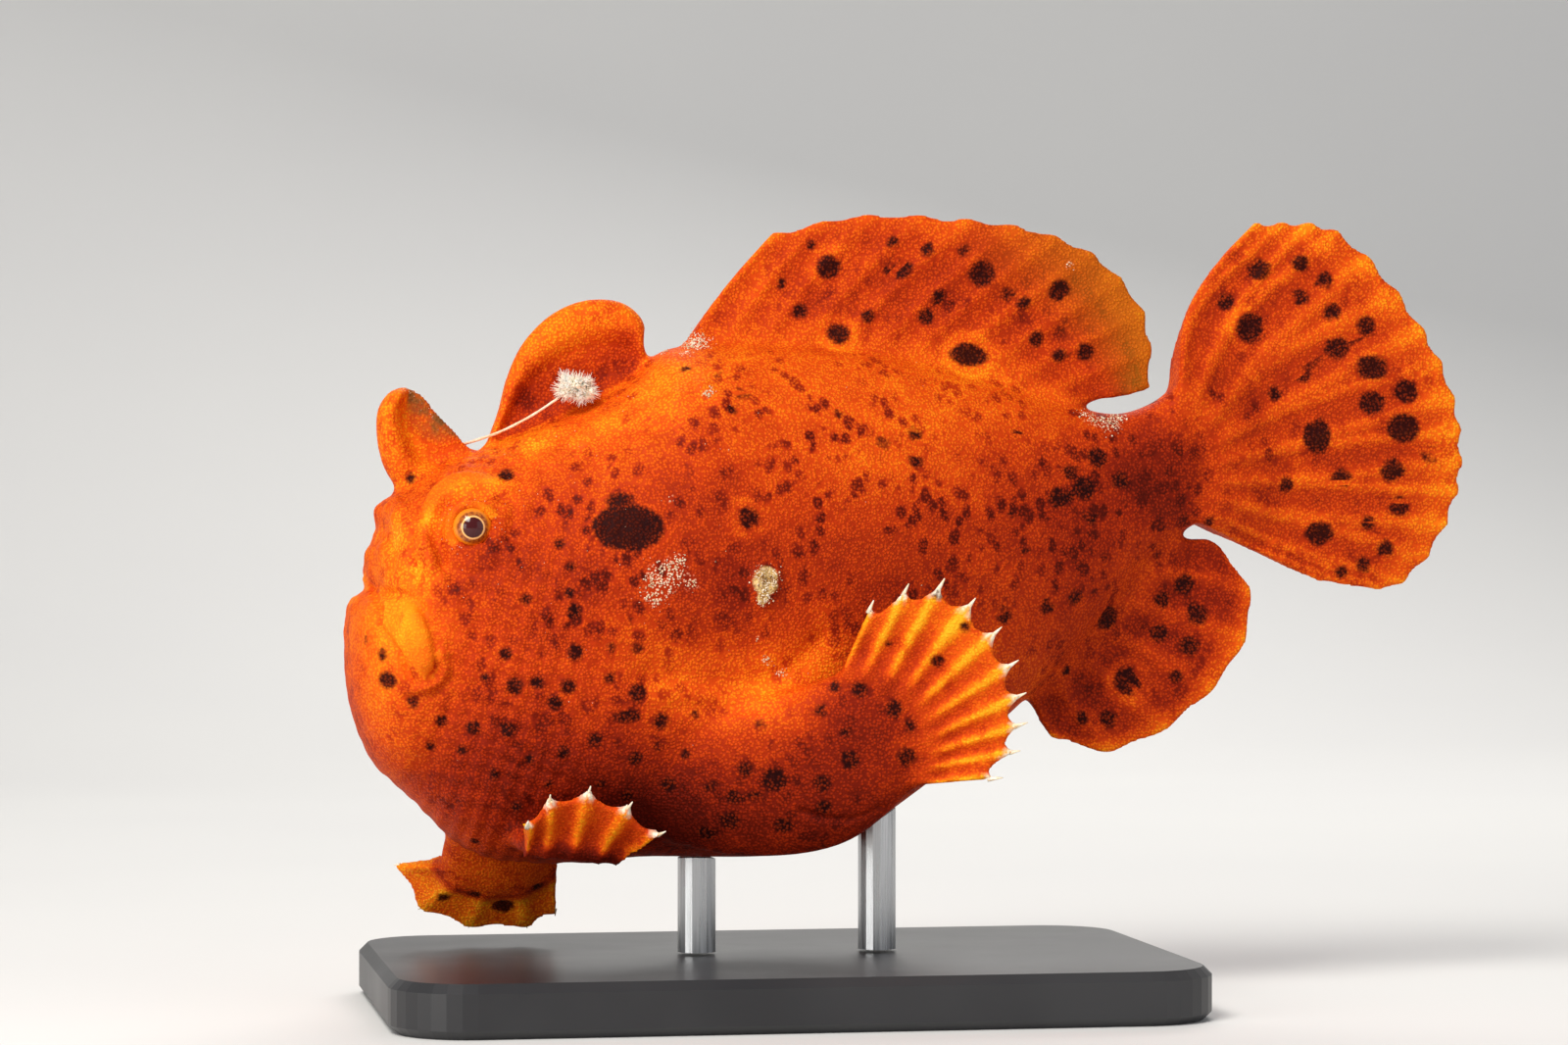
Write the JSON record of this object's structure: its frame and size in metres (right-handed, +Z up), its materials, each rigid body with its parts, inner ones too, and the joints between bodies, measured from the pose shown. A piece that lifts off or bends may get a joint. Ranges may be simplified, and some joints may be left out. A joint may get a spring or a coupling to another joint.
{
  "type": "frogfish model on a display stand",
  "caption": "Life-size still model of a painted frogfish swimming with spread fins and a laid-back lure, held on short rods over a flat display base.",
  "frame": {"origin": "centre of the underside of the stand's base, on the surface that it stands on", "axes": "X runs from the head (-X) to the tail (+X), the fish's left side faces -Y, Z up"},
  "size_m": [0.1314, 0.058, 0.0909],
  "materials": {
    "skin": "matt, prickly, mottled orange with dark spots",
    "fin": "satin orange, dark spots, thin skin over rays",
    "lure": "matt cream white",
    "eye": "glossy, dark pupil in a brown ring",
    "stand": "satin black",
    "rod": "brushed"
  },
  "bodies": {
    "root": {"head": "skin", "lower_jaw": "skin", "trunk": "skin", "tail_stalk": "skin", "dorsal_fin": "fin", "anal_fin": "fin", "caudal_fin": "fin", "second_dorsal_spine": "skin", "third_dorsal_spine": "skin", "illicium": "lure", "esca": "lure", "left_eye": "eye", "right_eye": "eye", "left_pectoral_arm": "skin", "right_pectoral_arm": "skin", "left_pectoral_fin": "fin", "right_pectoral_fin": "fin", "left_pelvic_leg": "skin", "left_pelvic_fin": "fin", "right_pelvic_leg": "skin", "right_pelvic_fin": "fin", "stand_base": "stand", "stand_rod_front": "rod", "stand_rod_rear": "rod"}
  },
  "joints": []
}
